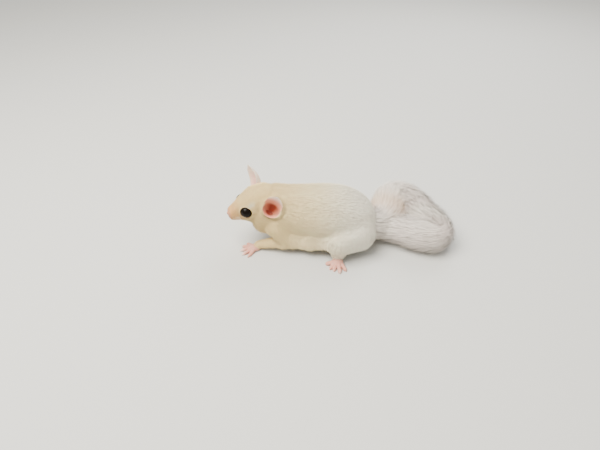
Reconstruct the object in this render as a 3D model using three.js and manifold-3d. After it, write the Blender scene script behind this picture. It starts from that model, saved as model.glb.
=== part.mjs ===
// A sugar glider of the cream white, dark-eyed colour form, at life size.
// It creeps low to the left with its head turned a little outwards, one hand reaching forward,
// a hind foot set out sideways, and its bushy tail curled flat behind it with the tip folded back.
// Millimetres, +Z up. The nose points to -X, the animal's left side to -Y, and the floor is z = 0.
import * as THREE from "three";
import { mergeVertices } from "three/addons/utils/BufferGeometryUtils.js";
import Module from "manifold-3d";

const wasm = await Module();
wasm.setup();

// Clearance that neighbouring parts keep, the shortest edge kept, and the size of a cutting block
// that outreaches the animal.
const GAP = 0.3;
const WELD = 0.01;
const BEYOND = 400;

// The trunk: a row of cross-sections from the rump to the nape.
// Each is [x, centre y, centre z, half width, rise above the centre, drop below it].
const RUMP_END = 68;
const NAPE_END = -48;
const TRUNK = [
  [NAPE_END, -3.5, 40, 10, 7, 12],
  [-40, -2.5, 38.5, 14.5, 13, 22],
  [-34, -1.5, 37, 16.5, 18.4, 26],
  [-26, -0.5, 36, 18.5, 20.4, 26],
  [-14, 0, 33, 21, 22, 23.5],
  [2, 0, 29, 24, 25.2, 22],
  [20, 0, 28, 26.5, 26.2, 22.5],
  [38, 0, 27, 26, 25.4, 22.5],
  [52, -0.5, 25, 23.5, 21, 21],
  [61, -1, 22, 19.5, 17, 18.5],
  [RUMP_END, -1, 19, 14.5, 14, 14.5],
];
const NECK_CUT_X = -15;

// The head has its own frame: x forward, y to its left, z up, and its origin midway between the ear holes.
const HEAD_PLACE = new THREE.Vector3(-32, -1, 45);
const HEAD_YAW = THREE.MathUtils.degToRad(19);
const HEAD_PITCH = THREE.MathUtils.degToRad(-7);
const HEAD_ROLL = THREE.MathUtils.degToRad(-8);
// Its cross-sections, each [x, half width, top z, bottom z].
const HEAD = [
  [-13, 9, 6.5, -10],
  [-7, 13, 11, -16.5],
  [0, 14.8, 12.4, -21.4],
  [7, 14.4, 12, -21.8],
  [13.4, 12, 10.2, -19.2],
  [18.4, 9.4, 7.4, -15.8],
  [23.5, 7, 3.6, -13.6],
  [28, 5.3, 0.4, -12.2],
  [31.4, 3.9, -2.2, -10.8],
];

// Eyes, lids, nose and mouth, in the head's frame. Side 1 is the left, side -1 the right.
const EYE_RADIUS = 5.1;
const EYE = (side) => new THREE.Vector3(16.6, side * 7.5, -2);
const GAZE = (side) => new THREE.Vector3(0.4, side * 0.84, 0.36).normalize();
const LID_RADIUS = 4.7;
const LID_THICKNESS = 0.85;
const NOSE = new THREE.Vector3(31.1, 0, -4.8);
const NOSE_SIZE = new THREE.Vector3(2, 2.4, 1.8);
const NOSTRIL_RADIUS = 0.55;
const MOUTH_GROOVE = 0.42;
const MOUTH_FRONT_X = 32.8;
const MOUTH_CORNER_X = 20;

// Ears: a thin cup on a narrow root.
const EAR_LENGTH = 22.5;
const EAR_HALF_WIDTH = 7.8;
const EAR_THICKNESS = 1;
const EAR_HOLLOW_UP = 7;
const EAR_HOLLOW_OUT = 2.8;
const EAR_HOLLOW_RADIUS = 7.4;
const EARS = {
  left: { root: [-2.3, 13.2, -4.4], tip: [-10.5, 18, 16], facing: [0.62, 0.78, 0.07] },
  right: { root: [-1, -11.5, 1], tip: [0.9, -26, 18], facing: [0.94, 0.27, 0.04] },
};

// Legs, joint by joint, with the radius of the furred limb at the two ends of each length.
const LEGS = {
  left: {
    shoulder: [-21, -13, 26],
    elbow: [-12, -17.5, 11],
    wrist: [-36, -14.8, 4.6],
    handTurn: 198,
    hip: [49, -15, 19],
    knee: [33, -27, 17],
    ankle: [32.8, -28, 6.2],
    footTurn: 264,
  },
  right: {
    shoulder: [-19, 13, 26],
    elbow: [-2, 18, 11],
    wrist: [-14, 19.5, 4.6],
    handTurn: 172,
    hip: [49, 15, 19],
    knee: [36, 27, 17],
    ankle: [50, 34, 6.2],
    footTurn: 60,
  },
};
const UPPER_ARM = [10, 6.6];
const FOREARM = [5.6, 3.3];
const THIGH = [16.5, 10.5];
const SHANK = [10, 5.8];

// Digits, each [angle from the middle, length, sideways place of its root, thickness]. Angles grow towards the thumb.
const HAND = {
  palm: [8.5, 3.7, 2.5],
  digits: [
    [58, 5.2, 2.9, 1.1],
    [26, 7.4, 2.2, 1.15],
    [4, 8.4, 0.6, 1.2],
    [-17, 8.6, -1.2, 1.2],
    [-40, 7, -2.8, 1.1],
  ],
  clawed: [0, 1, 2, 3, 4],
};
const FOOT = {
  palm: [10.5, 4.1, 2.8],
  digits: [
    [78, 5.6, 3, 1.5],
    [25, 6, 2.7, 1.2],
    [10, 6.4, 1.2, 1.2],
    [-9, 8.4, -1, 1.35],
    [-31, 7.4, -2.9, 1.25],
  ],
  clawed: [1, 2, 3, 4],
};
const CLAW_LENGTH = 2;
const CLAW_RADIUS = 0.5;

// The gliding membrane, folded along each flank from the elbow to the knee.
const FOLD_HEIGHT = 16;
const FOLD_HALF_DEPTH = 7.4;
const FOLD_THICKNESS = 4;

// The tail's centre line from inside the rump to the tip, and its coat.
const TAIL_PATH = [
  [56, -1, 22],
  [68, -1, 16.5],
  [76, 9, 14.6],
  [80.5, 25, 14.8],
  [89, 40, 15.6],
  [99.5, 39.5, 15],
  [108.5, 26, 14.2],
  [114, 10, 14.2],
  [120, -3, 14.2],
  [119, -13.5, 14.2],
  [108, -14, 14.2],
  [95, -9.5, 14.2],
  [86, -6.5, 14.2],
];
// The core's radius and the reach of the lock tips along the tail, each [share of its length, core, reach].
const TAIL_GIRTH = [
  [0, 8, 14],
  [0.1, 8, 15.6],
  [0.25, 8, 16.4],
  [0.7, 8, 16.4],
  [0.88, 7, 15.4],
  [1, 4.5, 12],
];
const LOCK_LENGTH = 26;
const LOCK_WIDTH = 16;
const LOCK_THICKNESS = 3.4;
const LOCK_RINGS = 7;
const LOCKS_AROUND = 5;
const BEND_ROOM = 0.7;
// Each span of the core starts a little thinner, inside the end of the one before it.
const SPAN_START = 0.94;
// The tail starts at one upright cut in the rump. Thin upright cuts, each from one plan point to another,
// part it into its lengths and keep the folded lengths clear of each other.
const TAIL_FROM_X = 63;
const TAIL_HOLLOW = [96, 12];
const FAR_BEND = [94, 26];
const NEAR_BEND = [107, -1];
const TAIL_CUTS = [
  [TAIL_HOLLOW, FAR_BEND],
  [TAIL_HOLLOW, NEAR_BEND],
  [TAIL_HOLLOW, [81, 3]],
  [[81, 3], [70, -30]],
  [FAR_BEND, [62, 33]],
  [FAR_BEND, [125, 44]],
  [NEAR_BEND, [150, -6]],
];
// A plan point inside each length of the tail, in order from the rump to the tip.
const TAIL_LENGTHS = [
  [74, 8],
  [93, 41],
  [112, 14],
  [100, -11],
];

const FUR = { color: 0xeee3cb, roughness: 0.92, metalness: 0 };
const TAIL_FUR = { color: 0xe6dfd8, roughness: 0.95, metalness: 0 };
const SKIN = { color: 0xe3b3a4, roughness: 0.6, metalness: 0 };
const EAR_SKIN = { color: 0xe0a595, roughness: 0.6, metalness: 0 };
const EYE_DARK = { color: 0x14100e, roughness: 0.08, metalness: 0 };

const UP = new THREE.Vector3(0, 0, 1);
const vector = (p) => (p.isVector3 ? p.clone() : new THREE.Vector3(...p));

// A repeatable stream of numbers from 0 to 1.
function seeded(seed) {
  let state = seed;
  return () => {
    state = (state * 1664525 + 1013904223) % 4294967296;
    return state / 4294967296;
  };
}

// Smooth values through rows of [position, value, value, ...].
function smoothRows(rows) {
  const last = rows.length - 1;
  return (t) => {
    let i = 0;
    while (i < last - 1 && t > rows[i + 1][0]) i++;
    const [a, b] = [rows[i], rows[i + 1]];
    const before = rows[Math.max(i - 1, 0)];
    const after = rows[Math.min(i + 2, last)];
    const span = b[0] - a[0];
    const s = THREE.MathUtils.clamp((t - a[0]) / span, 0, 1);
    return a.slice(1).map((value, k) => {
      const end = b[k + 1];
      const leave = (span * (end - before[k + 1])) / (b[0] - before[0]);
      const arrive = (span * (after[k + 1] - value)) / (after[0] - a[0]);
      return (
        value * (1 + 2 * s) * (1 - s) ** 2 +
        end * s * s * (3 - 2 * s) +
        leave * s * (1 - s) ** 2 -
        arrive * s * s * (1 - s)
      );
    });
  };
}

// A closed solid from any closed geometry, with its faces turned to point out.
function solidOf(geometry) {
  const bare = geometry.clone();
  bare.deleteAttribute("normal");
  bare.deleteAttribute("uv");
  const merged = mergeVertices(bare, 1e-4);
  const build = (triVerts) =>
    new wasm.Manifold(
      new wasm.Mesh({
        numProp: 3,
        vertProperties: new Float32Array(merged.attributes.position.array),
        triVerts,
      }),
    );
  const triangles = new Uint32Array(merged.index.array);
  const made = build(triangles);
  return made.volume() > 0 ? made : build(triangles.slice().reverse());
}

// A closed skin: place(angle, along) gives its points, and along runs from one pole, 0, to the other, 1.
function wrapped(place, sides, rings) {
  const geometry = new THREE.SphereGeometry(1, sides, rings);
  const { position, uv } = geometry.attributes;
  for (let i = 0; i < position.count; i++) {
    const point = place(2 * Math.PI * uv.getX(i), 1 - uv.getY(i));
    position.setXYZ(i, point.x, point.y, point.z);
  }
  return solidOf(geometry);
}

// A rounded limb along a smooth line, with radii spread evenly over its length and a round cap at each end.
function limb(points, radii, { sides = 12, rings = 12, capRings = 3, grow = 0 } = {}) {
  const path = new THREE.CatmullRomCurve3(points.map(vector));
  const radiusAt = smoothRows(radii.map((r, i) => [i / (radii.length - 1), r]));
  const capShare = capRings / rings;
  const place = (angle, along) => {
    const u = THREE.MathUtils.clamp((along - capShare) / (1 - 2 * capShare), 0, 1);
    const past = along - THREE.MathUtils.clamp(along, capShare, 1 - capShare);
    const bow = (past / capShare) * (Math.PI / 2);
    const radius = radiusAt(u)[0] + grow;
    const tangent = path.getTangent(u);
    const across = new THREE.Vector3().crossVectors(UP, tangent).normalize();
    const raised = new THREE.Vector3().crossVectors(tangent, across);
    return path
      .getPoint(u)
      .addScaledVector(tangent, radius * Math.sin(bow))
      .addScaledVector(across, radius * Math.cos(bow) * Math.cos(angle))
      .addScaledVector(raised, radius * Math.cos(bow) * Math.sin(angle));
  };
  return wrapped(place, sides, rings);
}

const ellipsoid = (centre, size, sides = 12, rings = 8) =>
  solidOf(new THREE.SphereGeometry(1, sides, rings).scale(size.x, size.y, size.z).translate(centre.x, centre.y, centre.z));

const joined = (solids) => solids.reduce((all, next) => all.add(next));

// Only the largest closed body of a solid, which drops any scrap that a cut leaves.
function largest(solid) {
  return solid.decompose().reduce((best, body) => (body.volume() > best.volume() ? body : best));
}

const clearOf = (solid, ...others) => largest(others.reduce((rest, other) => rest.subtract(other), solid));

// A block that holds everything on one side of x, or everything under the floor.
function block(centre, size) {
  return solidOf(new THREE.BoxGeometry(...size).translate(...centre));
}
const underFloor = block([0, 0, -BEYOND / 2], [BEYOND, BEYOND, BEYOND]);

function meshOf(name, solid, finish) {
  const { vertProperties, triVerts } = largest(solid.simplify(WELD)).getMesh();
  const geometry = new THREE.BufferGeometry();
  geometry.setAttribute("position", new THREE.BufferAttribute(vertProperties, 3));
  geometry.setIndex(new THREE.BufferAttribute(triVerts, 1));
  geometry.computeVertexNormals();
  const mesh = new THREE.Mesh(geometry, new THREE.MeshStandardMaterial(finish));
  mesh.name = name;
  return mesh;
}

// The trunk

const trunkAt = smoothRows(TRUNK);

function trunk(grow = 0) {
  const endRound = 0.1;
  const place = (angle, along) => {
    const eased = (1 - Math.cos(Math.PI * along)) / 2;
    const t = THREE.MathUtils.lerp(along, eased, 0.75);
    const x = THREE.MathUtils.lerp(NAPE_END - grow, RUMP_END + grow, t);
    const [y, z, halfWidth, rise, drop] = trunkAt(x);
    const toEnd = Math.min(t, 1 - t) / endRound;
    const round = toEnd < 1 ? Math.sqrt(1 - (1 - toEnd) ** 2) : 1;
    const height = Math.sin(angle) > 0 ? rise : drop;
    return new THREE.Vector3(
      x,
      y + (halfWidth + grow) * round * Math.cos(angle),
      z + (height + grow) * round * Math.sin(angle),
    );
  };
  return wrapped(place, 24, 18);
}

const trunkSolid = trunk();
const trunkRoom = trunk(GAP);
const aheadOf = (x) => block([x - BEYOND / 2, 0, 0], [BEYOND, BEYOND, BEYOND]);
const behind = (x) => block([x + BEYOND / 2, 0, 0], [BEYOND, BEYOND, BEYOND]);

// The head

const headAt = smoothRows(HEAD);
const headFrame = new THREE.Group();
headFrame.position.copy(HEAD_PLACE);
headFrame.rotation.set(HEAD_ROLL, -HEAD_PITCH, Math.PI + HEAD_YAW, "ZYX");
headFrame.updateMatrixWorld(true);
const inWorld = (solid, frame) => solid.transform(frame.matrixWorld.elements);

const bump = (distance, width) => Math.exp(-((distance / width) ** 2));

// A point of the head's surface at a station along x and an angle from its left side, over the top.
function headPoint(x, angle, round = 1, grow = 0) {
  const [halfWidth, top, bottom] = headAt(x);
  const middle = (top + bottom) / 2;
  const half = (top - bottom) / 2;
  const [c, s] = [Math.cos(angle), Math.sin(angle)];
  const squareness = 0.9;
  const point = new THREE.Vector3(
    x,
    (halfWidth + grow) * round * Math.sign(c) * Math.abs(c) ** squareness,
    middle + (half + grow) * round * Math.sign(s) * Math.abs(s) ** squareness,
  );
  // The cheek swells under the eye, and the muzzle is pinched between the eye and the nose.
  const cheek = bump(x - 8, 7) * bump(Math.abs(c) - 0.8, 0.3) * bump(s + 0.55, 0.5);
  const pinch = bump(x - 24.5, 3.6) * bump(s - 0.45, 0.5);
  point.y += Math.sign(c) * (1.1 * cheek - 0.9 * pinch) * round;
  return point;
}

function skull(grow = 0) {
  const front = HEAD[HEAD.length - 1][0];
  const back = HEAD[0][0];
  const place = (angle, along) => {
    const eased = (1 - Math.cos(Math.PI * along)) / 2;
    const t = THREE.MathUtils.lerp(along, eased, 0.6);
    const toBack = t / 0.16;
    const toFront = (1 - t) / 0.05;
    const round =
      toBack < 1 ? Math.sqrt(1 - (1 - toBack) ** 2) : toFront < 1 ? Math.sqrt(1 - (1 - toFront) ** 2) : 1;
    return headPoint(THREE.MathUtils.lerp(back - grow, front + grow, t), angle, round, grow);
  };
  return wrapped(place, 24, 22);
}

function lids(side) {
  const ring = new THREE.TorusGeometry(LID_RADIUS, LID_THICKNESS, 5, 16);
  const turn = new THREE.Quaternion().setFromUnitVectors(new THREE.Vector3(0, 0, 1), GAZE(side));
  const centre = EYE(side).addScaledVector(GAZE(side), Math.sqrt(EYE_RADIUS ** 2 - LID_RADIUS ** 2));
  return solidOf(ring.applyQuaternion(turn).translate(centre.x, centre.y, centre.z));
}

const eyeball = (side, grow = 0) =>
  solidOf(new THREE.IcosahedronGeometry(EYE_RADIUS + grow, 2).translate(...EYE(side).toArray()));

// The line between the lips, from one corner of the mouth round the front to the other.
function mouthLine() {
  const steps = 14;
  const points = [];
  for (let i = 0; i <= steps; i++) {
    const turn = Math.cos((Math.PI * i) / steps);
    const x = THREE.MathUtils.lerp(MOUTH_FRONT_X, MOUTH_CORNER_X, turn * turn);
    const angle = turn > 0 ? -0.62 - 0.95 * (1 - turn) : Math.PI + 0.62 + 0.95 * (1 + turn);
    points.push(headPoint(x, angle));
  }
  return limb(points, [MOUTH_GROOVE, MOUTH_GROOVE], { sides: 4, rings: 18 });
}

const nosePad = (grow = 0) => ellipsoid(NOSE, NOSE_SIZE.clone().addScalar(grow), 10, 6);

function nostril(side) {
  const centre = NOSE.clone().add(new THREE.Vector3(1.35, side * 1.25, 0.1));
  return ellipsoid(centre, new THREE.Vector3(0.9, NOSTRIL_RADIUS, NOSTRIL_RADIUS * 1.3), 8, 6);
}

const headSolid = clearOf(
  joined([skull(), lids(1), lids(-1)]),
  eyeball(1, GAP),
  eyeball(-1, GAP),
  nosePad(GAP),
  mouthLine(),
);
const headRoom = skull(GAP);

// An ear: a flattened tube bent into a cup, open towards its facing side.
function ear(side) {
  const root = vector(EARS[side].root);
  const axis = vector(EARS[side].tip).sub(root).normalize();
  const facing = vector(EARS[side].facing);
  facing.addScaledVector(axis, -facing.dot(axis)).normalize();
  const across = new THREE.Vector3().crossVectors(axis, facing);
  const widthAt = smoothRows([
    [0, 5],
    [0.2, 7],
    [0.45, EAR_HALF_WIDTH],
    [0.75, 6],
    [1, 2.2],
  ]);
  const wrapAt = smoothRows([
    [0, 1.9],
    [0.35, 1.35],
    [0.75, 0.85],
    [1, 0.6],
  ]);
  const place = (angle, along) => {
    const toTip = (1 - along) / 0.22;
    const toRoot = along / 0.06;
    const round = Math.min(1, Math.sqrt(1 - (1 - Math.min(1, toTip)) ** 2), Math.sqrt(Math.min(1, toRoot)));
    const wrap = wrapAt(along)[0];
    const bowRadius = widthAt(along)[0] / Math.sin(Math.min(wrap, Math.PI / 2));
    const bow = Math.cos(angle) * wrap * round;
    const skin = Math.sin(angle) * (EAR_THICKNESS / 2) * Math.sqrt(round);
    const radius = bowRadius - skin;
    const curl = 2.2 * along * along;
    return root
      .clone()
      .addScaledVector(axis, EAR_LENGTH * along)
      .addScaledVector(facing, bowRadius - radius * Math.cos(bow) - 3.2 * Math.sin(Math.PI * along ** 0.8) + curl)
      .addScaledVector(across, radius * Math.sin(bow));
  };
  return wrapped(place, 14, 9);
}

// The hollow that an ear's cup sits in, at the side of the head.
function earHollow(side, grow = 0) {
  const root = vector(EARS[side].root);
  const axis = vector(EARS[side].tip).sub(root).normalize();
  const facing = vector(EARS[side].facing).normalize();
  const centre = root.addScaledVector(axis, EAR_HOLLOW_UP).addScaledVector(facing, EAR_HOLLOW_OUT);
  const size = new THREE.Vector3(1, 1, 1).multiplyScalar(EAR_HOLLOW_RADIUS + grow);
  return ellipsoid(centre, size, 14, 10);
}

// Hands and feet, in a frame with the wrist or ankle over the origin, x towards the middle digit and z up

function digit([angleDegrees, length, rootY, thickness], thumbSide, palmLength, clawed) {
  const angle = thumbSide * THREE.MathUtils.degToRad(angleDegrees);
  const root = new THREE.Vector3(palmLength * 0.86 - Math.abs(rootY) * 0.55, thumbSide * rootY, thickness * 2);
  const away = new THREE.Vector3(Math.cos(angle), Math.sin(angle), 0);
  const at = (share, height) =>
    root
      .clone()
      .addScaledVector(away, length * share)
      .setZ(height);
  const line = [at(-0.15, thickness * 1.9), at(0.4, thickness * 2.3), at(0.75, thickness * 1.5), at(1, thickness * 0.86)];
  const pieces = [limb(line, [thickness * 1.1, thickness, thickness * 0.86, thickness * 0.95], { sides: 5, rings: 5, capRings: 2 })];
  if (clawed) {
    const claw = [at(1, thickness * 1.15), at(1.08, thickness * 1.35), at(1, 0).addScaledVector(away, CLAW_LENGTH)];
    claw[1].addScaledVector(away, CLAW_LENGTH * 0.4);
    claw[2].setZ(CLAW_RADIUS * 0.7);
    pieces.push(limb(claw, [CLAW_RADIUS, CLAW_RADIUS * 0.85, CLAW_RADIUS * 0.3], { sides: 4, rings: 3, capRings: 1 }));
  }
  return joined(pieces);
}

function paw({ palm, digits, clawed }, thumbSide) {
  const [length, halfWidth, halfHeight] = palm;
  const pad = ellipsoid(
    new THREE.Vector3(length * 0.42, 0, halfHeight - 0.25),
    new THREE.Vector3(length * 0.58, halfWidth, halfHeight),
    12,
    8,
  );
  const fingers = digits.map((d, i) => digit(d, thumbSide, length, clawed.includes(i)));
  return joined([pad, ...fingers]);
}

// One leg's parts, each cut clear of the part that it grows from. The paw is placed in a frame of its own.
function pawFrame(joint, turnDegrees) {
  const frame = new THREE.Group();
  frame.position.set(joint[0], joint[1], 0);
  frame.rotation.z = THREE.MathUtils.degToRad(turnDegrees);
  frame.updateMatrixWorld(true);
  return frame;
}

function legParts(side) {
  const joints = LEGS[side];
  const thumbSide = side === "left" ? -1 : 1;
  const outer = [
    ["upper_arm", "forearm", "hand", joints.shoulder, joints.elbow, joints.wrist, UPPER_ARM, FOREARM, HAND],
    ["thigh", "shank", "foot", joints.hip, joints.knee, joints.ankle, THIGH, SHANK, FOOT],
  ];
  return outer.map(([upperName, lowerName, pawName, top, bend, end, upperRadii, lowerRadii, pawShape]) => {
    const upper = (grow) => limb([top, bend], upperRadii, { sides: 14, rings: 9, grow });
    const lower = (grow) => limb([bend, end], lowerRadii, { sides: 12, rings: 9, grow });
    const frame = pawFrame(end, pawName === "hand" ? joints.handTurn : joints.footTurn);
    const pawSolid = inWorld(paw(pawShape, thumbSide), frame);
    return {
      side,
      names: [upperName, lowerName, pawName],
      frame,
      upper: clearOf(upper(0), trunkRoom, underFloor),
      upperRoom: upper(GAP),
      lower: clearOf(lower(0), upper(GAP), trunkRoom, underFloor),
      lowerRoom: lower(GAP),
      paw: clearOf(pawSolid, lower(GAP), upper(GAP), trunkRoom, underFloor),
    };
  });
}

// The folded gliding membrane: a soft roll from the elbow to the knee, clear of trunk and legs.
function membrane(side, legs) {
  const joints = LEGS[side];
  const out = side === "left" ? -1 : 1;
  const [elbow, knee] = [vector(joints.elbow), vector(joints.knee)];
  const start = elbow.clone().add(new THREE.Vector3(-3, out * 1, 3)).setZ(FOLD_HEIGHT - 2);
  const end = knee.clone().add(new THREE.Vector3(2, -out * 3, 0)).setZ(FOLD_HEIGHT + 2);
  const path = new THREE.CatmullRomCurve3([
    start,
    new THREE.Vector3(4, out * 22.4, FOLD_HEIGHT - 1),
    new THREE.Vector3(20, out * 24.6, FOLD_HEIGHT + 0.5),
    end,
  ]);
  const lean = new THREE.Vector3(0, out * 0.18, -1).normalize();
  const place = (angle, along) => {
    const round = Math.sqrt(Math.max(0, 1 - (2 * along - 1) ** 6));
    const ripple = 0.9 * Math.sin(along * 6 * Math.PI);
    return path
      .getPoint(along)
      .addScaledVector(lean, FOLD_HALF_DEPTH * round * Math.cos(angle))
      .add(new THREE.Vector3(0, (out * FOLD_THICKNESS * round * Math.sin(angle)) / 2 + out * ripple * round, 0));
  };
  const roll = wrapped(place, 10, 16);
  return clearOf(roll, trunkRoom, underFloor, ...legs.flatMap((leg) => [leg.upperRoom, leg.lowerRoom]));
}

// The tail

const tailLine = new THREE.CatmullRomCurve3(TAIL_PATH.map(vector), false, "centripetal");
const TAIL_LENGTH = tailLine.getLength();
const girthAt = smoothRows(TAIL_GIRTH);

// How sharply the tail bends towards a direction, as one over the bend's radius.
function bendTowards(share, direction) {
  const step = 0.03;
  const [from, to] = [Math.max(share - step, 0), Math.min(share + step, 1)];
  const turned = tailLine.getTangentAt(to).sub(tailLine.getTangentAt(from));
  return turned.dot(direction) / ((to - from) * TAIL_LENGTH);
}

// One flat lock: it leaves the core, bends back along the tail and tapers to its tip.
function lock(share, angle, length, width, reachShare) {
  const sunk = girthAt(share)[0] * 0.6;
  const place = (turn, s) => {
    const station = share + (length * s) / TAIL_LENGTH;
    const at = Math.min(station, 1);
    const along = tailLine.getTangentAt(at);
    const across = new THREE.Vector3().crossVectors(UP, along).normalize();
    const raised = new THREE.Vector3().crossVectors(along, across);
    const out = across.clone().multiplyScalar(Math.cos(angle)).addScaledVector(raised, Math.sin(angle));
    const flat = new THREE.Vector3().crossVectors(along, out);
    const free = THREE.MathUtils.lerp(sunk, girthAt(at)[1] * reachShare, Math.sin((s * Math.PI) / 2) ** 0.9);
    const lift = Math.min(free, BEND_ROOM / Math.max(bendTowards(at, out), 0.001));
    const taper = s < 0.05 ? s / 0.05 : Math.cos((Math.PI / 2) * s ** 2.4);
    return tailLine
      .getPointAt(at)
      .addScaledVector(along, (station - at) * TAIL_LENGTH)
      .addScaledVector(out, lift + (LOCK_THICKNESS / 2) * taper * (Math.sin(turn) - 1))
      .addScaledVector(flat, (width / 2) * taper * Math.cos(turn));
  };
  return wrapped(place, 4, 4);
}

function tailSolid() {
  const random = seeded(39);
  const spans = 10;
  const pieces = Array.from({ length: spans }, (_, i) => {
    const [from, middle, to] = [i / spans, (i + 0.5) / spans, (i + 1) / spans];
    const radii = [girthAt(from)[0] * SPAN_START, girthAt(middle)[0], girthAt(to)[0]];
    return limb([tailLine.getPointAt(from), tailLine.getPointAt(to)], radii, { sides: 7, rings: 7 });
  });
  for (let ring = 0; ring < LOCK_RINGS; ring++) {
    const share = THREE.MathUtils.lerp(0.03, 0.94, ring / (LOCK_RINGS - 1));
    for (let i = 0; i < LOCKS_AROUND; i++) {
      const angle = ((i + (ring % 2) / 2 + 0.3 * (random() - 0.5)) * 2 * Math.PI) / LOCKS_AROUND;
      const length = LOCK_LENGTH * (0.9 + 0.2 * random());
      pieces.push(lock(share, angle, length, LOCK_WIDTH * (0.9 + 0.25 * random()), 0.92 + 0.08 * random()));
    }
  }
  return joined(pieces);
}

function tailCut([from, to]) {
  const a = new THREE.Vector2(...from);
  const b = new THREE.Vector2(...to);
  const wall = new THREE.BoxGeometry(a.distanceTo(b) + 5 * GAP, GAP, BEYOND);
  wall.rotateZ(b.clone().sub(a).angle());
  wall.translate((a.x + b.x) / 2, (a.y + b.y) / 2, 0);
  return solidOf(wall);
}

function tailNodes(neighbours) {
  const cut = [aheadOf(TAIL_FROM_X), ...TAIL_CUTS.map(tailCut), underFloor, ...neighbours].reduce(
    (rest, cutter) => rest.subtract(cutter),
    tailSolid(),
  );
  const bodies = cut.decompose();
  return TAIL_LENGTHS.map(([x, y]) => {
    const probe = block([x, y, 15], [4, 4, 4]);
    return bodies.reduce((best, body) =>
      body.intersect(probe).volume() > best.intersect(probe).volume() ? body : best,
    );
  });
}

// Assembly

const glider = new THREE.Group();
const legs = [...legParts("left"), ...legParts("right")];
const headInWorld = inWorld(headRoom, headFrame);
const earHollows = [earHollow("left"), earHollow("right")];
const hollowsInWorld = earHollows.map((hollow) => inWorld(hollow, headFrame));

glider.add(meshOf("torso", clearOf(trunkSolid, aheadOf(NECK_CUT_X), headInWorld), FUR));
glider.add(meshOf("neck", clearOf(trunkSolid, behind(NECK_CUT_X - GAP), headInWorld, ...hollowsInWorld), FUR));

headFrame.add(meshOf("head", clearOf(headSolid, ...earHollows), FUR));
headFrame.add(meshOf("nose", clearOf(nosePad(), nostril(1), nostril(-1)), SKIN));
const bodyInHead = trunkRoom.transform(headFrame.matrixWorld.clone().invert().elements);
for (const [side, sign] of [["left", 1], ["right", -1]]) {
  const walls = [headRoom, bodyInHead].map((room) => room.subtract(earHollow(side, -GAP)));
  headFrame.add(meshOf(`eye_${side}`, eyeball(sign), EYE_DARK));
  headFrame.add(meshOf(`ear_${side}`, clearOf(ear(side), ...walls), EAR_SKIN));
}
glider.add(headFrame);

for (const leg of legs) {
  const [upperName, lowerName, pawName] = leg.names;
  glider.add(meshOf(`${upperName}_${leg.side}`, leg.upper, FUR));
  glider.add(meshOf(`${lowerName}_${leg.side}`, leg.lower, FUR));
  const toFrame = leg.frame.matrixWorld.clone().invert().elements;
  leg.frame.add(meshOf(`${pawName}_${leg.side}`, leg.paw.transform(toFrame), SKIN));
  glider.add(leg.frame);
}
for (const side of ["left", "right"]) {
  glider.add(meshOf(`membrane_${side}`, membrane(side, legs.filter((leg) => leg.side === side)), FUR));
}
tailNodes([trunkRoom, ...legs.flatMap((leg) => [leg.upperRoom, leg.lowerRoom])]).forEach((solid, i) => {
  glider.add(meshOf(`tail_${i + 1}`, solid, TAIL_FUR));
});

// The model's frame has its origin in the middle of the bounding box, at the floor.
glider.updateMatrixWorld(true);
const extent = new THREE.Box3().setFromObject(glider, true);
const middle = extent.getCenter(new THREE.Vector3());
glider.position.set(-middle.x, -middle.y, -extent.min.z);

export default glider;
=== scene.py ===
"""Looks for a cream white, dark-eyed sugar glider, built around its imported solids.

All shapes are worked out in the solids' own design frame: millimetres, nose to -X, left side to -Y,
floor at z = 0. The last step of each piece moves it to the model's frame, in metres.
"""
import math

import bpy
import numpy as np
from mathutils import Matrix, Vector
from mathutils.bvhtree import BVHTree


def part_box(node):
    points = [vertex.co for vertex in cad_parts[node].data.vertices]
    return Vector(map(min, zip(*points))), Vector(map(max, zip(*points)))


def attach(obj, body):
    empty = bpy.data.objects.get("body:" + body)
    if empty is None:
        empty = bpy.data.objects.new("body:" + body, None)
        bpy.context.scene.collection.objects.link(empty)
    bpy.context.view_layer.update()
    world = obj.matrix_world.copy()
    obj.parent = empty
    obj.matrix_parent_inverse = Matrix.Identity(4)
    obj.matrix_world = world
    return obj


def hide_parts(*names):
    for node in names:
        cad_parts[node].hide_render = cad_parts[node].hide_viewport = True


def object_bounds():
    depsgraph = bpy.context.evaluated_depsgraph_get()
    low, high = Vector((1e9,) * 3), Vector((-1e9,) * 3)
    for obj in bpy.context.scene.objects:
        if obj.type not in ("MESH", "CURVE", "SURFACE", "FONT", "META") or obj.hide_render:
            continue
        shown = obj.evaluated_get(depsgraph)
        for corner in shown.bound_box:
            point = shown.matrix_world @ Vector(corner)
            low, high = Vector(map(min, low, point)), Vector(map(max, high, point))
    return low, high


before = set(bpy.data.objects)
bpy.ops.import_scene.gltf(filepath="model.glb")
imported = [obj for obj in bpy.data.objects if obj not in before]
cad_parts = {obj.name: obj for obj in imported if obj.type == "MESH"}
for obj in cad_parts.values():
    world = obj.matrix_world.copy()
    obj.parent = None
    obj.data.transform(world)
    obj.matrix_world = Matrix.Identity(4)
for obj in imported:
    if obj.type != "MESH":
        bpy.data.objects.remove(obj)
cad_bounds = [list(corner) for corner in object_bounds()]

MM = 0.001

# Fineness.
SKIN_VOXEL = 0.45
COAT_SHARE = 1.0
BLUR_ROUNDS = 14
SMOOTH_ROUNDS = 60
TRUNK_SMOOTH_ROUNDS = 420
PIECE_TRIANGLES = 190000
BAKE_PATCH = 0.003

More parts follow.
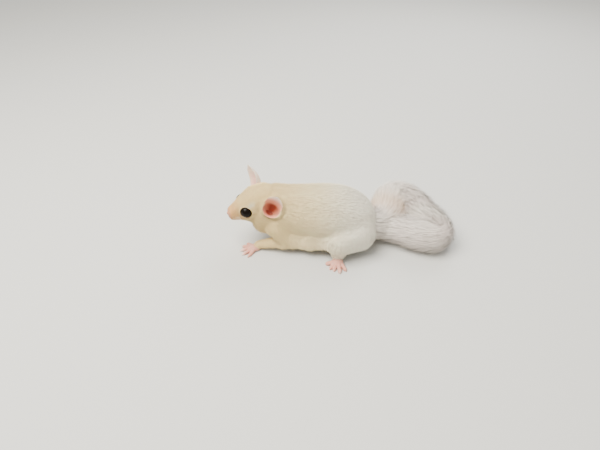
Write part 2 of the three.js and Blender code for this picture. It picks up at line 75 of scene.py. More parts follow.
# The same sizes as the solids, in millimetres and degrees
HEAD_PLACE = (-32, -1, 45)
HEAD_YAW, HEAD_PITCH, HEAD_ROLL = 19, -7, -8
EYE_RADIUS = 5.1
EYE_AT = (16.6, 7.5, -2)
NOSE_AT = (31.1, 0, -4.8)
NOSE_SIZE = (2, 2.4, 1.8)
EAR_LENGTH = 22.5
EAR_HALF_WIDTH = 7.8
EARS = {
    "left": {"root": (-2.3, 13.2, -4.4), "tip": (-10.5, 18, 16), "facing": (0.62, 0.78, 0.07)},
    "right": {"root": (-1, -11.5, 1), "tip": (0.9, -26, 18), "facing": (0.94, 0.27, 0.04)},
}
EAR_HOLLOW_UP, EAR_HOLLOW_OUT, EAR_HOLLOW_RADIUS = 7, 2.8, 7.4
LEGS = {
    "left": {
        "shoulder": (-21, -13, 26), "elbow": (-12, -17.5, 11), "wrist": (-36, -14.8, 4.6), "hand_turn": 198,
        "ankle": (32.8, -28, 6.2), "foot_turn": 264,
    },
    "right": {
        "shoulder": (-19, 13, 26), "elbow": (-2, 18, 11), "wrist": (-14, 19.5, 4.6), "hand_turn": 172,
        "ankle": (50, 34, 6.2), "foot_turn": 60,
    },
}
HAND = {"palm": 8.5, "digits": [(58, 5.2, 2.9, 1.1), (26, 7.4, 2.2, 1.15), (4, 8.4, 0.6, 1.2),
                                (-17, 8.6, -1.2, 1.2), (-40, 7, -2.8, 1.1)], "clawed": range(5)}
FOOT = {"palm": 10.5, "digits": [(78, 5.6, 3, 1.5), (25, 6, 2.7, 1.2), (10, 6.4, 1.2, 1.2),
                                 (-9, 8.4, -1, 1.35), (-31, 7.4, -2.9, 1.25)], "clawed": range(1, 5)}
TAIL_PATH = [(56, -1, 22), (68, -1, 16.5), (76, 9, 14.6), (80.5, 25, 14.8), (89, 40, 15.6), (99.5, 39.5, 15),
             (108.5, 26, 14.2), (114, 10, 14.2), (120, -3, 14.2), (119, -13.5, 14.2), (108, -14, 14.2),
             (95, -9.5, 14.2), (86, -6.5, 14.2)]
# The middle of the tail's curl
TAIL_HOLLOW = np.array([96.0, 12.0, 14.0])

# The photograph's view: camera place, tilt below level and lens
CAMERA_AT = (0, -309.5, 274.2)
CAMERA_TILT = 40
LENS, SENSOR = 27.04, 36


def srgb(r, g, b):
    """A linear colour from 0 to 255 display values."""
    values = np.array([r, g, b], float) / 255
    return np.where(values <= 0.04045, values / 12.92, ((values + 0.055) / 1.055) ** 2.4)


CREAM = srgb(251, 233, 190)
HEAD_CREAM = srgb(248, 214, 146)
RUMP_WHITE = srgb(249, 240, 219)
TAIL_WHITE = srgb(242, 234, 222)
SNOUT_TAN = srgb(216, 160, 100)
PAW_PINK = srgb(218, 160, 142)
PALE_TIP = srgb(240, 214, 200)
BROW_BROWN = srgb(196, 166, 126)
EYE_RIM_AND_LIP_SHADE_BROWN = srgb(92, 60, 48)
BROW_HIGHLIGHT_CREAM = srgb(252, 243, 218)
NOSE_EDGE = srgb(212, 152, 126)
NOSE_PINK = srgb(208, 150, 120)
NOSTRIL_SHADE_RED = srgb(104, 50, 40)
EAR_FLUSH = srgb(222, 150, 128)
EAR_HOLLOW_SHADE = srgb(120, 48, 34)
EAR_SKIN = srgb(240, 218, 202)
EAR_BOWL = srgb(228, 152, 122)
EAR_CANAL_SHADE = srgb(132, 48, 26)
EAR_RIM_SHADE = srgb(206, 190, 160)
EAR_BACK = srgb(232, 214, 196)
TAIL_BASE_SHADE = srgb(222, 188, 142)
TAIL_BLUSH = srgb(232, 212, 206)
EYE_BLACK = srgb(15, 10, 6)
CLAW_HORN = srgb(226, 204, 180)
WHISKER_CREAM = srgb(228, 216, 196)
FLOOR_GREY = srgb(206, 206, 202)


def smooth_rows(rows):
    """Smooth values through rows of (position, value, ...), as the solids use."""
    rows = np.array(rows, float)
    at = rows[:, 0]
    slopes = np.gradient(rows[:, 1:], at, axis=0)

    def value(t):
        t = np.atleast_1d(np.clip(t, at[0], at[-1]))
        i = np.clip(np.searchsorted(at, t, side="right") - 1, 0, len(at) - 2)
        span = (at[i + 1] - at[i])[:, None]
        s = (t[:, None] - at[i][:, None]) / span
        start, end = rows[i, 1:], rows[i + 1, 1:]
        return (start * (1 + 2 * s) * (1 - s) ** 2 + end * s * s * (3 - 2 * s)
                + slopes[i] * span * s * (1 - s) ** 2 - slopes[i + 1] * span * s * s * (1 - s))

    return value


def unit(v):
    return v / np.maximum(np.linalg.norm(v, axis=-1, keepdims=True), 1e-9)


def step_between(x, low, high):
    t = np.clip((x - low) / (high - low), 0, 1)
    return t * t * (3 - 2 * t)


# The head's frame: x forward, y to its left, z up
head_matrix = (Matrix.Translation(HEAD_PLACE) @ Matrix.Rotation(math.radians(180 + HEAD_YAW), 4, "Z")
               @ Matrix.Rotation(math.radians(-HEAD_PITCH), 4, "Y")
               @ Matrix.Rotation(math.radians(HEAD_ROLL), 4, "X"))
HEAD_TURN = np.array(head_matrix.to_3x3())
HEAD_ORIGIN = np.array(HEAD_PLACE, float)


def from_head(p):
    return np.asarray(p, float) @ HEAD_TURN.T + HEAD_ORIGIN


def to_head(p):
    return (np.asarray(p, float) - HEAD_ORIGIN) @ HEAD_TURN


eye_centres = {
    side: from_head((EYE_AT[0], sign * EYE_AT[1], EYE_AT[2]))
    for side, sign in (("left", 1), ("right", -1))
}
eye_low, eye_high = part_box("eye_left")
# The place of the model's origin in the design frame
ORIGIN = eye_centres["left"] - np.array((eye_low + eye_high) / 2) / MM


def to_model(p):
    return (np.asarray(p, float) - ORIGIN) * MM


CAD_LOW, CAD_HIGH = (np.array(corner) / MM + ORIGIN for corner in cad_bounds)
OVERREACH_KEPT = 0.25


def kept_in_box(points):
    """Points pressed back towards the solids' box, with only a share of their overreach kept."""
    points = np.where(points > CAD_HIGH, CAD_HIGH + OVERREACH_KEPT * (points - CAD_HIGH), points)
    return np.where(points < CAD_LOW, CAD_LOW + OVERREACH_KEPT * (points - CAD_LOW), points)


def new_mesh(name, points, faces):
    """A smooth-shaded mesh object from design-frame points and an array of triangles or quads."""
    faces = np.asarray(faces, np.int32)
    mesh = bpy.data.meshes.new(name)
    mesh.vertices.add(len(points))
    mesh.vertices.foreach_set("co", to_model(points).astype(np.float32).ravel())
    mesh.loops.add(faces.size)
    mesh.loops.foreach_set("vertex_index", faces.ravel())
    mesh.polygons.add(len(faces))
    mesh.polygons.foreach_set("loop_start", np.arange(len(faces), dtype=np.int32) * faces.shape[1])
    mesh.update(calc_edges=True)
    mesh.polygons.foreach_set("use_smooth", np.full(len(faces), True))
    obj = bpy.data.objects.new(name, mesh)
    bpy.context.collection.objects.link(obj)
    return obj


def tint_points(obj, colours):
    attribute = obj.data.color_attributes.new("tint", "FLOAT_COLOR", "POINT")
    rgba = np.ones((len(colours), 4), np.float32)
    rgba[:, :3] = colours
    attribute.data.foreach_set("color", rgba.ravel())


def grid_faces(rows, columns):
    """Quads of a grid of points, closed round its columns."""
    start = np.arange(rows - 1)[:, None] * columns
    end = start + columns
    here = np.arange(columns)[None, :]
    beside = (here + 1) % columns
    return np.stack([start + here, start + beside, end + beside, end + here], -1).reshape(-1, 4)


# The tail's line, the same curve as the solids use

class TailLine:
    """A smooth line through points, read by share of its length."""

    SPAN_SAMPLES = 40

    def __init__(self, points):
        pts = np.array(points, float)
        pts = np.vstack([2 * pts[0] - pts[1], pts, 2 * pts[-1] - pts[-2]])
        shares = np.linspace(0, 1, self.SPAN_SAMPLES, endpoint=False)
        dense = [self.span(pts[i - 1:i + 3], shares) for i in range(1, len(pts) - 2)]
        dense = np.vstack([*dense, pts[-2][None]])
        gaps = np.linalg.norm(np.diff(dense, axis=0), axis=1)
        self.length = gaps.sum()
        self.share = np.concatenate([[0], np.cumsum(gaps)]) / self.length
        self.dense = dense

    @staticmethod
    def span(p, t):
        """A centripetal Catmull-Rom span between the middle two of four points."""
        knots = np.concatenate([[0], np.cumsum(np.linalg.norm(np.diff(p, axis=0), axis=1) ** 0.5)])
        t = (knots[1] + t * (knots[2] - knots[1]))[:, None]

        def mix(a, b, i, j):
            return a * (knots[j] - t) / (knots[j] - knots[i]) + b * (t - knots[i]) / (knots[j] - knots[i])

        a1, a2, a3 = mix(p[0], p[1], 0, 1), mix(p[1], p[2], 1, 2), mix(p[2], p[3], 2, 3)
        return mix(mix(a1, a2, 0, 2), mix(a2, a3, 1, 3), 1, 2)

    def point(self, share):
        return np.stack([np.interp(share, self.share, self.dense[:, k]) for k in range(3)], -1)

    def tangent(self, share, step=0.012):
        ahead, behind = np.clip(share + step, 0, 1), np.clip(share - step, 0, 1)
        return unit(self.point(ahead) - self.point(behind))

    def frame(self, share, angle):
        """The tail's direction, the direction out of it at an angle round it, and the one across both."""
        along = self.tangent(share)
        across = unit(np.cross(np.array([0, 0, 1.0]), along))
        raised = np.cross(along, across)
        out = across * np.cos(angle)[..., None] + raised * np.sin(angle)[..., None]
        return along, out, np.cross(along, out)

    def bend_towards(self, share, direction, step=0.03):
        """How sharply the line bends towards a direction, as one over the bend's radius."""
        start, end = np.clip(share - step, 0, 1), np.clip(share + step, 0, 1)
        turned = self.tangent(end) - self.tangent(start)
        return (turned * direction).sum(-1) / ((end - start) * self.length)


tail = TailLine(TAIL_PATH)
# The radius of the tail's core, and of its coat, by share of the tail's length
tail_core = smooth_rows([(0, 8.5), (0.1, 7.6), (0.25, 6.8), (0.7, 6.4), (0.9, 5.2), (1, 3)])
tail_reach = smooth_rows([(0, 14), (0.1, 15.4), (0.25, 16.2), (0.7, 16.2), (0.88, 15.2), (1, 12)])


def tail_core_mesh():
    """The tail's closed core, as points and faces."""
    rows, columns = 90, 24
    last_ring, tip_share, rounded_share = 0.985, 0.99, 0.06
    share = np.linspace(0, last_ring, rows)
    angle = np.linspace(0, 2 * np.pi, columns, endpoint=False)
    s, a = [g.ravel() for g in np.meshgrid(share, angle, indexing="ij")]
    _, out, _ = tail.frame(s, a)
    radius = tail_core(s)[:, 0] * np.sqrt(np.clip((1.0 - s) / rounded_share, 0, 1))
    points = tail.point(s) + out * radius[:, None]
    points = np.vstack([points, tail.point(np.array([0.0, tip_share]))])
    faces = grid_faces(rows, columns).tolist()
    first, last = len(points) - 2, len(points) - 1
    end = (rows - 1) * columns
    faces += [[(c + 1) % columns, c, first] for c in range(columns)]
    faces += [[end + c, end + (c + 1) % columns, last] for c in range(columns)]
    return points, faces


# The skin: the solids' flesh nodes and the tail's core, fused, smoothed and drawn in by the coat's depth

FLESH = ["torso", "neck", "head"] + [f"{part}_{side}" for side in ("left", "right") for part in (
    "upper_arm", "forearm", "hand", "thigh", "shank", "foot", "membrane")]
# Each kind of node: coat depth, tuft length and width in mm, tufts per square millimetre, smoothing
DEPTH, LENGTH, WIDTH, DENSITY, SMOOTHING = range(5)
COAT = {
    "torso": (2.3, 4.6, 0.36, 3.5, 1.0),
    "neck": (2.2, 4.4, 0.35, 3.6, 1.0),
    "head": (1.5, 3.0, 0.28, 4.6, 0.3),
    "upper_arm": (1.8, 4.4, 0.4, 3.2, 1.0),
    "forearm": (1.0, 2.8, 0.3, 4.0, 0.5),
    "hand": (0.05, 0.7, 0.14, 0.6, 0.08),
    "thigh": (2.2, 4.6, 0.36, 3.4, 1.0),
    "shank": (1.2, 3.4, 0.32, 3.8, 0.7),
    "foot": (0.05, 0.8, 0.16, 0.6, 0.08),
    "membrane": (1.0, 4.0, 0.38, 3.2, 0.9),
    "tail": (0.0, 7.0, 0.6, 0.0, 0.8),
}
# How far nodes are swollen, in mm, so that they fuse: more where a limb or the membrane flows into the trunk
SWELL = {"membrane": 1.0, "thigh": 0.6, "upper_arm": 0.6, "shank": 0.5, "neck": 0.6}
SWELL_ELSEWHERE = 0.32


def node_kind(name):
    """A node's name without its side."""
    return name.rsplit("_", 1)[0] if name.endswith(("left", "right")) else name


def node_arrays(name, swell):
    """A CAD node's welded points, swollen a little, and its triangles, in the design frame."""
    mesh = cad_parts[name].data
    points = np.empty(len(mesh.vertices) * 3)
    mesh.vertices.foreach_get("co", points)
    points = points.reshape(-1, 3) / MM + ORIGIN
    mesh.calc_loop_triangles()
    triangles = np.empty(len(mesh.loop_triangles) * 3, int)
    mesh.loop_triangles.foreach_get("vertices", triangles)
    _, first, back = np.unique(np.round(points, 3), axis=0, return_index=True, return_inverse=True)
    points, triangles = points[first], back.ravel()[triangles].reshape(-1, 3)
    corners = points[triangles]
    face_normals = np.cross(corners[:, 1] - corners[:, 0], corners[:, 2] - corners[:, 0])
    normals = np.zeros_like(points)
    for k in range(3):
        np.add.at(normals, triangles[:, k], face_normals)
    return points + unit(normals) * swell, triangles


def fused_flesh():
    """One voxel-remeshed surface over all the flesh, and a search tree that tells the node of each face."""
    points, faces, labels = [], [], []
    count = 0
    for name in FLESH:
        node_points, triangles = node_arrays(name, SWELL.get(node_kind(name), SWELL_ELSEWHERE))
        points.append(node_points)
        faces += (triangles + count).tolist()
        labels += [name] * len(triangles)
        count += len(node_points)
    core_points, core_faces = tail_core_mesh()
    points.append(core_points)
    faces += [[i + count for i in face] for face in core_faces]
    labels += ["tail"] * len(core_faces)
    points = np.vstack(points)
    tree = BVHTree.FromPolygons([Vector(p) for p in points], faces)
    mesh = bpy.data.meshes.new("flesh")
    mesh.from_pydata(points.tolist(), [], faces)
    obj = bpy.data.objects.new("flesh", mesh)
    bpy.context.collection.objects.link(obj)
    remesh = obj.modifiers.new("fuse", "REMESH")
    remesh.mode = "VOXEL"
    remesh.voxel_size = SKIN_VOXEL
    fused = obj.evaluated_get(bpy.context.evaluated_depsgraph_get()).to_mesh()
    skin_points = np.empty(len(fused.vertices) * 3)
    fused.vertices.foreach_get("co", skin_points)
    quads = np.empty(len(fused.loops), int)
    fused.loops.foreach_get("vertex_index", quads)
    sizes = np.empty(len(fused.polygons), int)
    fused.polygons.foreach_get("loop_total", sizes)
    starts = np.empty(len(fused.polygons), int)
    fused.polygons.foreach_get("loop_start", starts)
    skin_points = skin_points.reshape(-1, 3)
    quads = np.stack([quads[starts + np.minimum(k, sizes - 1)] for k in range(4)], 1)
    bpy.data.objects.remove(obj)
    return skin_points, quads, tree, labels


def hollow_centre(side):
    """The middle of the hollow that an ear's cup sits in, in the head's frame."""
    root, tip, facing = (np.array(EARS[side][key], float) for key in ("root", "tip", "facing"))
    return root + unit(tip - root) * EAR_HOLLOW_UP + unit(facing) * EAR_HOLLOW_OUT


skin_points, skin_quads, node_tree, face_labels = fused_flesh()
whole = skin_quads[:, 2] != skin_quads[:, 3]
edges = np.vstack([skin_quads[:, [i, (i + 1) % 4]] for i in range(4)])
edge_count = np.maximum(np.bincount(edges.ravel(), minlength=len(skin_points)), 1)


def neighbour_mean(values):
    """The mean of each skin point's neighbours."""
    out = np.empty_like(values)
    for k in range(values.shape[1]):
        total = np.bincount(edges[:, 0], values[edges[:, 1], k], len(values))
        total += np.bincount(edges[:, 1], values[edges[:, 0], k], len(values))
        out[:, k] = total / edge_count
    return out


def spread(values, rounds):
    for _ in range(rounds):
        values = 0.5 * values + 0.5 * neighbour_mean(values)
    return values


def skin_normals(points):
    one_way = points[skin_quads[:, 2]] - points[skin_quads[:, 0]]
    other_way = points[skin_quads[:, 3]] - points[skin_quads[:, 1]]
    face = np.cross(one_way, other_way)
    normals = np.zeros_like(points)
    for k in range(4):
        for axis in range(3):
            normals[:, axis] += np.bincount(skin_quads[:, k], face[:, axis], len(points))
    return unit(normals)


label_of = np.array([face_labels[node_tree.find_nearest(Vector(p))[2]] for p in skin_points])
kind_of = np.array([node_kind(name) for name in label_of])


def limb_flow(start, end):
    return unit(np.array(end, float) - np.array(start, float))


def node_flow(name):
    """Which way the coat lies on a node."""
    side = "left" if name.endswith("left") else "right"
    leg = LEGS[side]
    out = -1 if side == "left" else 1
    if name.startswith("upper_arm"):
        return unit(limb_flow(leg["shoulder"], leg["elbow"]) + np.array([0.9, 0, 0]))
    if name.startswith("forearm"):
        return limb_flow(leg["elbow"], leg["wrist"])
    if name.startswith("hand"):
        turn = math.radians(leg["hand_turn"])
        return np.array([math.cos(turn), math.sin(turn), -0.1])
    if name.startswith("thigh"):
        return unit(np.array([0.35, out * 0.25, -0.8]))
    if name.startswith("shank"):
        return unit(np.array([0.0, out * 0.4, -1.0]))
    if name.startswith("foot"):
        turn = math.radians(leg["foot_turn"])
        return np.array([math.cos(turn), math.sin(turn), -0.1])
    if name.startswith("membrane"):
        return unit(np.array([0.8, out * 0.15, -0.6]))
    if name == "head":
        return -HEAD_TURN[:, 0]
    return np.array([1.0, 0, 0])


table = np.array([COAT[kind] for kind in kind_of])
labels, label_index = np.unique(label_of, return_inverse=True)
flow = np.array([node_flow(name) for name in labels])[label_index]
table = spread(table, BLUR_ROUNDS)
flow = spread(flow, BLUR_ROUNDS * 2)

head_points = to_head(skin_points)
is_head = spread((kind_of == "head").astype(float)[:, None], 4)[:, 0]
ear_hollows = {side: hollow_centre(side) for side in EARS}
ear_gap = np.minimum(*[np.linalg.norm(head_points - ear_hollows[side], axis=1) for side in EARS])
by_ear = 1 - step_between(ear_gap, EAR_HOLLOW_RADIUS + 0.6, EAR_HOLLOW_RADIUS + 4)
# The coat covers the hollow's lower part, as far as the ear's root
ear_root = np.where((head_points[:, 1] > 0)[:, None], EARS["left"]["root"], EARS["right"]["root"])
from_root = head_points - ear_root
under_ear = step_between(0.3 + 0.07 * from_root[:, 0] ** 2 - from_root[:, 2], 0.0, 1.6)
# The back of the head is smoothed into the neck, but not round the ears
behind_face = is_head * (1 - step_between(head_points[:, 0], -3, 9))
near_ear = table[:, SMOOTHING] * (1 - 0.85 * by_ear)
off_ear = np.maximum(table[:, SMOOTHING], 0.95 * behind_face)
table[:, SMOOTHING] = np.where(by_ear > 0.02, near_ear, off_ear)


def smoothed(points, weight, rounds):
    """Points with their small bumps smoothed away, but moved back out by what the smoothing shrinks them."""
    before = points.copy()
    for _ in range(rounds):
        points = points + (neighbour_mean(points) - points) * (weight * 0.6)
    normals = skin_normals(points)
    lost = spread(((before - points) * normals).sum(-1, keepdims=True), rounds // 2)
    return points + normals * lost


# The body is smoothed so that the joints of its nodes flow into each other, most of all along the trunk
face = is_head * step_between(head_points[:, 0], -8, 3)
trunk_like = np.clip((table[:, [SMOOTHING]] - 0.86) / 0.1, 0, 1) * (1 - face)[:, None]
skin_points = smoothed(skin_points, table[:, [SMOOTHING]], SMOOTH_ROUNDS)
skin_points = smoothed(skin_points, trunk_like, TRUNK_SMOOTH_ROUNDS)

head_points = to_head(skin_points)
# The coat shortens from the back of the head to the nose, and round the eyes
snout = is_head * step_between(head_points[:, 0], 12, 31)
eye_gap = np.minimum(*[np.linalg.norm(skin_points - eye_centres[side], axis=1) for side in ("left", "right")])
by_eye = is_head * (1 - step_between(eye_gap, 5.6, 9.5))
short = np.clip(1 - 0.88 * snout, 0.12, 1) * (1 - 0.8 * by_eye)
table[:, DEPTH] *= short
table[:, LENGTH] *= np.clip(1 - 0.8 * snout, 0.2, 1) * (1 - 0.68 * by_eye)
table[:, WIDTH] *= np.clip(1 - 0.5 * snout, 0.3, 1) * (1 - 0.35 * by_eye)
table[:, DENSITY] *= 1 + 1.6 * snout + 0.8 * by_eye
table[:, DEPTH] *= 1 - 0.7 * by_ear * (1 - under_ear)
table[:, LENGTH] *= 1 - 0.6 * by_ear * (1 - 0.6 * under_ear)

# The skin is drawn in by nearly the coat's depth, a little further round the eyes, and stays above the floor
SKIN_LIFT, EYE_SINK, SKIN_LOWEST = 0.3, 0.75, 0.02
normals = skin_normals(skin_points)
skin_points -= normals * (table[:, [DEPTH]] - SKIN_LIFT + EYE_SINK * by_eye[:, None])
skin_points[:, 2] = np.maximum(skin_points[:, 2], SKIN_LOWEST)

# The line between the lips is a small groove, placed in the head's frame
MOUTH_FRONT_X, MOUTH_FRONT_Z, MOUTH_SLOPE = 28, -9.5, 0.14
LIP_WIDTH, LIP_DEPTH = 0.42, 0.38
head_points = to_head(skin_points)


def mouth_gap(h):
    """How far points of the muzzle are above or below the line between the lips."""
    line = MOUTH_FRONT_Z - MOUTH_SLOPE * (MOUTH_FRONT_X - h[:, 0])
    return h[:, 2] - line


on_muzzle = is_head * step_between(head_points[:, 0], 19, 22)
lips = np.exp(-(mouth_gap(head_points) / LIP_WIDTH) ** 2) * on_muzzle
skin_points -= skin_normals(skin_points) * (LIP_DEPTH * lips)[:, None]
normals = skin_normals(skin_points)
normals_soft = unit(spread(normals, 6))


# Colours of skin and coat

def noise3(points, scale, seed):
    """Smooth repeatable noise, mostly from -1 to 1, as a sum of waves."""
    rng = np.random.default_rng(seed)
    total = np.zeros(len(points))
    for _ in range(7):
        direction = rng.normal(size=3)
        total += np.sin(points @ direction * scale + rng.uniform(0, 6.3))
    return total / 3.5


def mix(base, colour, share):
    share = np.clip(share, 0, 1)[:, None]
    return base * (1 - share) + colour * share


def bare_share():
    """How far each skin point belongs to a bare hand or foot."""
    paws = np.isin(kind_of, ["hand", "foot"]).astype(float)
    return spread(paws[:, None], 3)[:, 0]


def coat_tint(points):
    h = to_head(points)
    x = points[:, 0]
    colour = np.tile(CREAM, (len(points), 1))
    colour = mix(colour, RUMP_WHITE, step_between(x, 5, 50))
    colour = mix(colour, HEAD_CREAM, 0.85 * (1 - step_between(x, -34, 34)))
    colour = mix(colour, TAIL_WHITE, step_between(x, 66, 76))
    colour = mix(colour, SNOUT_TAN, is_head * step_between(h[:, 0], 17, 31) * 0.85)
    # A painted highlight lies as a pale streak over the eye, with a faint brown shade behind it
    ahead = h[:, 0] - 13
    painted_highlight = np.exp(-(ahead / 2.6) ** 2 - ((h[:, 2] + 0.6 * ahead - 4.6) / 1.5) ** 2)
    shade = np.exp(-((h[:, 0] - 9) / 3) ** 2 - ((h[:, 2] - 2) / 4) ** 2)
    colour = mix(colour, BROW_BROWN, 0.22 * shade * is_head)
    colour = mix(colour, BROW_HIGHLIGHT_CREAM, 0.7 * painted_highlight * is_head)
    colour = mix(colour, EYE_RIM_AND_LIP_SHADE_BROWN, is_head * (1 - step_between(eye_gap, 5.0, 6.3)) * 0.9)
    colour = mix(colour, BROW_BROWN, 0.3 * is_head * (1 - step_between(eye_gap, 5.8, 8.2)))
    # The groove between the lips is darkened with painted shade
    colour = mix(colour, EYE_RIM_AND_LIP_SHADE_BROWN, 0.55 * lips)
    return colour * (1 + 0.035 * noise3(points, 0.35, 3) + 0.02 * noise3(points, 1.1, 4))[:, None]


# Hands and feet are pink, paler towards the tips of the digits
PAW_ROOM, PAW_SPAN = 26, 1.9
paw = bare_share()
paw_reach = np.zeros(len(skin_points))
for leg in LEGS.values():
    for joint, turn, palm in (("wrist", "hand_turn", HAND["palm"]), ("ankle", "foot_turn", FOOT["palm"])):
        away = np.array([math.cos(math.radians(leg[turn])), math.sin(math.radians(leg[turn]))])
        offset = skin_points[:, :2] - np.array(leg[joint][:2])
        near = np.linalg.norm(offset, axis=1) < PAW_ROOM
        paw_reach = np.where(near, np.maximum(paw_reach, (offset @ away) / (palm * PAW_SPAN)), paw_reach)
skin_tint = coat_tint(skin_points)
skin_tint = mix(skin_tint, PAW_PINK, paw)
skin_tint = mix(skin_tint, PALE_TIP, paw * step_between(paw_reach, 0.75, 1.05) * 0.8)
skin_tint = mix(skin_tint, NOSE_EDGE, is_head * step_between(head_points[:, 0], 28.5, 31) * 0.7)
in_ear = (1 - under_ear) * (1 - step_between(ear_gap, EAR_HOLLOW_RADIUS - 0.4, EAR_HOLLOW_RADIUS + 0.9))
skin_tint = mix(skin_tint, EAR_FLUSH, in_ear)
for side in EARS:
    canal_gap = np.linalg.norm(head_points - np.array(EARS[side]["root"]), axis=1)
    # The hollow is darkened round the ear's root with painted shade
    skin_tint = mix(skin_tint, EAR_HOLLOW_SHADE, in_ear * (1 - step_between(canal_gap, 3, 6)))

skin = new_mesh("skin", skin_points, skin_quads[whole])
tint_points(skin, skin_tint)


# Materials

def material(name, roughness, colour=None, sheen=0.0, bump=0.0, bump_scale=900.0, subsurface=0.0,
             gloss=0.3):
    """A finish of one colour, or of the mesh's own tint where no colour is given."""
    made = bpy.data.materials.new(name)
    made.use_nodes = True
    nodes, links = made.node_tree.nodes, made.node_tree.links
    shader = nodes["Principled BSDF"]
    shader.inputs["Roughness"].default_value = roughness
    shader.inputs["Sheen Weight"].default_value = sheen
    shader.inputs["Sheen Roughness"].default_value = 0.5
    shader.inputs["Specular IOR Level"].default_value = gloss
    shader.inputs["Subsurface Weight"].default_value = subsurface
    shader.inputs["Subsurface Scale"].default_value = 0.002
    shader.inputs["Subsurface Radius"].default_value = (1.0, 0.45, 0.3)
    if colour is None:
        tint = nodes.new("ShaderNodeVertexColor")
        tint.layer_name = "tint"
        links.new(tint.outputs["Color"], shader.inputs["Base Color"])
    else:
        shader.inputs["Base Color"].default_value = (*colour, 1)
    if bump:
        place = nodes.new("ShaderNodeTexCoord")
        noise = nodes.new("ShaderNodeTexNoise")
        noise.inputs["Scale"].default_value = bump_scale
        noise.inputs["Detail"].default_value = 3
        relief = nodes.new("ShaderNodeBump")
        relief.inputs["Strength"].default_value = bump
        relief.inputs["Distance"].default_value = 0.0004
        links.new(place.outputs["Object"], noise.inputs["Vector"])
        links.new(noise.outputs["Fac"], relief.inputs["Height"])
        links.new(relief.outputs["Normal"], shader.inputs["Normal"])
    return made


fur_finish = material("fur", 0.85, sheen=0.12)
skin_finish = material("skin", 0.62, bump=0.5, bump_scale=1400, subsurface=0.25)
ear_finish = material("ear skin", 0.55, bump=0.25, bump_scale=900, subsurface=0.35)
nose_finish = material("nose skin", 0.38, bump=0.4, bump_scale=2600)
eye_finish = material("eye", 0.22, colour=EYE_BLACK, gloss=0.1)
claw_finish = material("claw", 0.35, colour=CLAW_HORN)
whisker_finish = material("whisker", 0.5, colour=WHISKER_CREAM)
skin.data.materials.append(skin_finish)
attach(skin, "root")
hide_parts(*FLESH, "tail_1", "tail_2", "tail_3", "tail_4")


# Tufts

TUFT_LOWEST = 0.12
TUFT_RIDGE = 0.4
ROOT_SHADE = 0.9
SIDE_LEAN = 0.2


def tufts(name, centre, across, out, widths, tints, bake, leaf=0.85):
    """Joined closed tufts. centre is tuft by ring by xyz, and the last ring is each tuft's tip."""
    count, rings = centre.shape[:2]
    shares = np.linspace(0, 1, rings)
    # A tuft is widest a little above its root
    profile = np.sin(np.pi * np.clip(0.22 + 0.78 * shares, 0, 1)) ** leaf
    half = widths[:, None] * profile[None, :-1] / 2
    body = centre[:, :-1]
    left = body - across[:, :-1] * half[..., None]
    right = body + across[:, :-1] * half[..., None]
    ridge = body + out[:, :-1] * (half * TUFT_RIDGE)[..., None]
    ring = np.stack([left, right, ridge], 2).reshape(count, -1, 3)
    points = np.concatenate([ring, centre[:, -1:]], 1)
    per = points.shape[1]
    points[..., 2] = np.maximum(points[..., 2], TUFT_LOWEST)
    triangles = [[0, 2, 1]]
    for i in range(rings - 2):
        for a, b in ((0, 1), (1, 2), (2, 0)):
            triangles += [[3 * i + a, 3 * i + b, 3 * i + 3 + b], [3 * i + a, 3 * i + 3 + b, 3 * i + 3 + a]]
    last = 3 * (rings - 2)
    triangles += [[last + a, last + b, per - 1] for a, b in ((0, 1), (1, 2), (2, 0))]
    triangles = np.array(triangles)[:, ::-1]
    up, lean = out[:, :-1], SIDE_LEAN * across[:, :-1]
    ring_normals = np.stack([up - lean, up + lean, up], 2).reshape(count, -1, 3)
    normal = np.concatenate([ring_normals, out[:, -1:]], 1)
    u = np.concatenate([np.tile([-0.5, 0.5, 0.0], rings - 1), [0.0]])
    v = np.concatenate([np.repeat(shares[:-1], 3), [1.0]]) - 0.5
    patch = bake[:, None, :] + BAKE_PATCH * np.stack([u, v], -1)[None]
    shade = np.concatenate([np.repeat(ROOT_SHADE + (1 - ROOT_SHADE) * shares[:-1], 3), [1.0]])
    most = PIECE_TRIANGLES // len(triangles)
    for part, start in enumerate(range(0, count, most)):
        chosen = slice(start, min(start + most, count))
        number = chosen.stop - chosen.start
        faces = (triangles[None] + (np.arange(number) * per)[:, None, None]).reshape(-1, 3)
        obj = new_mesh(f"{name}_{part + 1}", points[chosen].reshape(-1, 3), faces)
        tint_points(obj, (tints[chosen, None, :] * shade[None, :, None]).reshape(-1, 3))
        layer = obj.data.uv_layers.new(name="OFBake")
        layer.data.foreach_set("uv", patch[chosen].reshape(-1, 2)[faces.ravel()].astype(np.float32).ravel())
        obj.data.normals_split_custom_set_from_vertices(unit(normal[chosen].reshape(-1, 3)).tolist())
        obj.data.materials.append(fur_finish)
        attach(obj, "root")


# The unwrap's cells, with a margin in each, fill the lower part of the map. The tail's strip is above
LABELS = sorted(FLESH)
CELLS_ACROSS = 5
CELL_MARGIN = 0.06
CELLS_HIGH = 0.8


def bake_place(points, labels):
    """The place of skin points on an unwrap of the skin: one cell a node, length by angle round its axis."""
    place = np.zeros((len(points), 2))
    for i, name in enumerate(LABELS):
        here = labels == name
        if not here.any():
            continue
        local = points[here] - points[here].mean(0)
        axes = np.linalg.svd(local[::max(1, len(local) // 2000)], full_matrices=False)[2]
        along = local @ axes[0]
        round_it = np.arctan2(local @ axes[2], local @ axes[1]) / (2 * np.pi) + 0.5
        length = (along - along.min()) / max(np.ptp(along), 1e-6)
        cell = np.array([i % CELLS_ACROSS, i // CELLS_ACROSS], float)
        inner = (1 - 2 * CELL_MARGIN) * np.stack([length, round_it], -1)
        place[here] = (cell + CELL_MARGIN + inner) / CELLS_ACROSS * np.array([1, CELLS_HIGH])
    return place


rng = np.random.default_rng(7)
BRIGHTEST = 0.95


